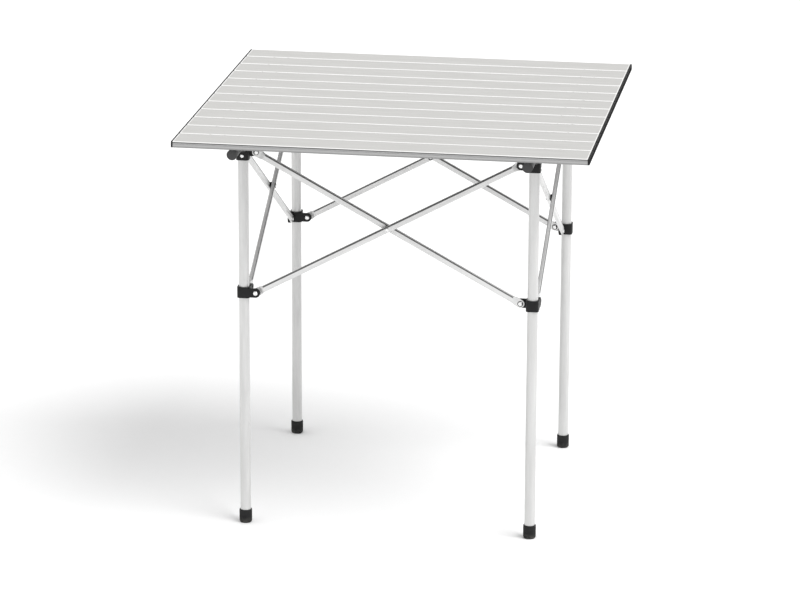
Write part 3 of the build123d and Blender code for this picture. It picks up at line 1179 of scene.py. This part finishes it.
@dataclass
class ElasticStrands:
    """The two elastic loops that run through every slat, in lengths from each slat to the next."""

    finishes: Finishes
    radius: float = 0.0016
    spacing: float = 0.025
    segments: int = 12
    wall: float = 0.0022

    def middles(self) -> list[Vector]:
        """The middle of every slat."""
        found = []
        for index in range(1, SLAT_COUNT + 1):
            low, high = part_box(f"slat_{index:02d}")
            found.append((low + high) / 2)
        return found

    def build(self) -> None:
        """Makes one length from each slat to the next, and the ends of the loops."""
        low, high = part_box("elastic_loops")
        height = (low.z + high.z) / 2
        outer = high.x - self.radius
        slats = self.middles()
        for i in range(SLAT_COUNT - 1):
            bm = bmesh.new()
            gap = (slats[i].y + slats[i + 1].y) / 2
            first_end = low.y + self.radius if i == 0 else None
            last_end = high.y - self.radius if i == SLAT_COUNT - 2 else None
            for side in (-1, 1):
                self.add_pair(bm, side * (outer - self.spacing / 2), height,
                              (slats[i].y, gap, slats[i + 1].y), (first_end, last_end))
            name = f"elastic_strands_{i + 1:02d}"
            piece = new_piece(name, finish_mesh(name, bm, 60.0))
            piece.data.materials.append(self.finishes.elastic)
            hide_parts("elastic_loops")
            gap - self.wall
            gap + self.wall
            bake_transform(piece)
            LOG.info("%s bends between slats %d and %d", name, i + 1, i + 2)

    def add_pair(
        self,
        bm: bmesh.types.BMesh,
        middle_x: float,
        height: float,
        ys: tuple[float, float, float],
        ends: tuple[float | None, float | None],
    ) -> None:
        """Adds the two strands of one loop between two slats.

        Args:
            bm: the mesh that takes them.
            middle_x: middle of the loop.
            height: height of the strands' middle line.
            ys: middle of the near slat, the gap, middle of the far slat.
            ends: where the loop turns back in front and behind, if it does here.
        """
        near, gap, far = ys
        reach = 3 * self.wall
        steps = [gap - reach + 2 * reach * k / 12 for k in range(13)]
        half = self.spacing / 2
        left = [Vector((middle_x - half, y, height)) for y in (near, *steps, far)]
        right = [Vector((middle_x + half, y, height)) for y in (near, *steps, far)]
        front, back = ends
        if front is not None:
            arc = self.half_turn(middle_x, front + half, height, -1)
            tube(bm, left[::-1] + arc + right, self.radius, self.segments)
        elif back is not None:
            arc = self.half_turn(middle_x, back - half, height, 1)
            tube(bm, left + arc + right[::-1], self.radius, self.segments)
        else:
            tube(bm, left, self.radius, self.segments)
            tube(bm, right, self.radius, self.segments)

    def half_turn(self, middle_x: float, y: float, height: float, way: int) -> list[Vector]:
        """Points round one end of a loop, from its left strand to its right one."""
        half = self.spacing / 2
        angles = [math.pi - math.pi * k / 10 for k in range(11)]
        return [Vector((middle_x + half * math.cos(a), y + way * half * math.sin(a), height)) for a in angles]


@dataclass
class RollTop:
    """The slats, their caps and the elastic that holds them."""

    finishes: Finishes

    def build(self) -> None:
        """Dresses the slats and makes what belongs to them."""
        for index in range(1, SLAT_COUNT + 1):
            coat(f"slat_{index:02d}", self.finishes.slat)
            SlatCaps(index, self.finishes).build()
        ElasticStrands(self.finishes).build()


# ---- studio --------------------------------------------------------------

@dataclass
class Studio:
    """Floor, light and camera."""

    lens: float = 177.2
    stand: Vector = Vector((1.005, -6.566, 2.309))
    azimuth: float = 8.85
    elevation: float = 16.51
    roll: float = 0.25
    floor_half: float = 40.0
    sky: float = 0.72

    def build(self) -> None:
        """Sets up the whole studio."""
        self.build_floor()
        self.build_light()
        self.build_camera()

    def build_floor(self) -> None:
        """One pale level floor that runs out of view on every side."""
        mesh = bpy.data.meshes.new("studio_floor")
        h = self.floor_half
        mesh.from_pydata([(-h, -h, 0), (h, -h, 0), (h, h, 0), (-h, h, 0)], [], [(0, 1, 2, 3)])
        mesh.materials.append(StudioFloor("pale_paper", (0.93, 0.93, 0.93), (0.90, 0.90, 0.90)).build())
        floor = new_piece("studio_floor", mesh)

    def build_light(self) -> None:
        """A pale surround and two broad soft lamps."""
        scene = bpy.context.scene
        world = bpy.data.worlds.new("studio")
        world.use_nodes = True
        world.node_tree.nodes["Background"].inputs["Color"].default_value = (1.0, 1.0, 1.0, 1.0)
        world.node_tree.nodes["Background"].inputs["Strength"].default_value = self.sky
        scene.world = world
        scene.view_settings.view_transform = "Standard"
        for name, energy, spread, toward in (
            ("key", 2.25, 42.0, Vector((-0.62, 0.25, -0.9))),
            ("fill", 0.35, 70.0, Vector((0.9, 0.5, -0.8))),
        ):
            lamp = bpy.data.lights.new(name, "SUN")
            lamp.energy = energy
            lamp.angle = math.radians(spread)
            holder = bpy.data.objects.new(name, lamp)
            holder.rotation_mode = "QUATERNION"
            holder.rotation_quaternion = toward.to_track_quat("-Z", "Y")
            scene.collection.objects.link(holder)

    def build_camera(self) -> None:
        """The camera, from its stand, its direction and its roll."""
        az, el, roll = (math.radians(a) for a in (self.azimuth, self.elevation, self.roll))
        forward = Vector((-math.sin(az) * math.cos(el), math.cos(az) * math.cos(el), -math.sin(el)))
        right = Vector((math.cos(az), math.sin(az), 0.0))
        up = right.cross(forward)
        right_rolled = right * math.cos(roll) + up * math.sin(roll)
        up_rolled = up * math.cos(roll) - right * math.sin(roll)
        lens = bpy.data.cameras.new("camera")
        lens.lens = self.lens
        lens.sensor_width = 36.0
        lens.clip_start = 0.1
        lens.clip_end = 200.0
        camera = bpy.data.objects.new("camera", lens)
        turn = Matrix((right_rolled, up_rolled, -forward)).transposed().to_4x4()
        camera.matrix_world = Matrix.Translation(self.stand) @ turn
        bpy.context.scene.collection.objects.link(camera)
        bpy.context.scene.camera = camera


def main() -> None:
    """Builds the table's looks, one sub-assembly after another."""
    logging.basicConfig(level=logging.INFO, format="%(message)s")
    finishes = Finishes.build()
    scatter = Scatter()
    Studio().build()
    for corner in Corner:
        CornerPost(corner, scatter, finishes).build()
    for side in Side:
        for layer in Layer:
            CrossingBar(side, layer, scatter, finishes).build()
    Rails(finishes).build()
    RollTop(finishes).build()


if __name__ == "__main__":
    main()
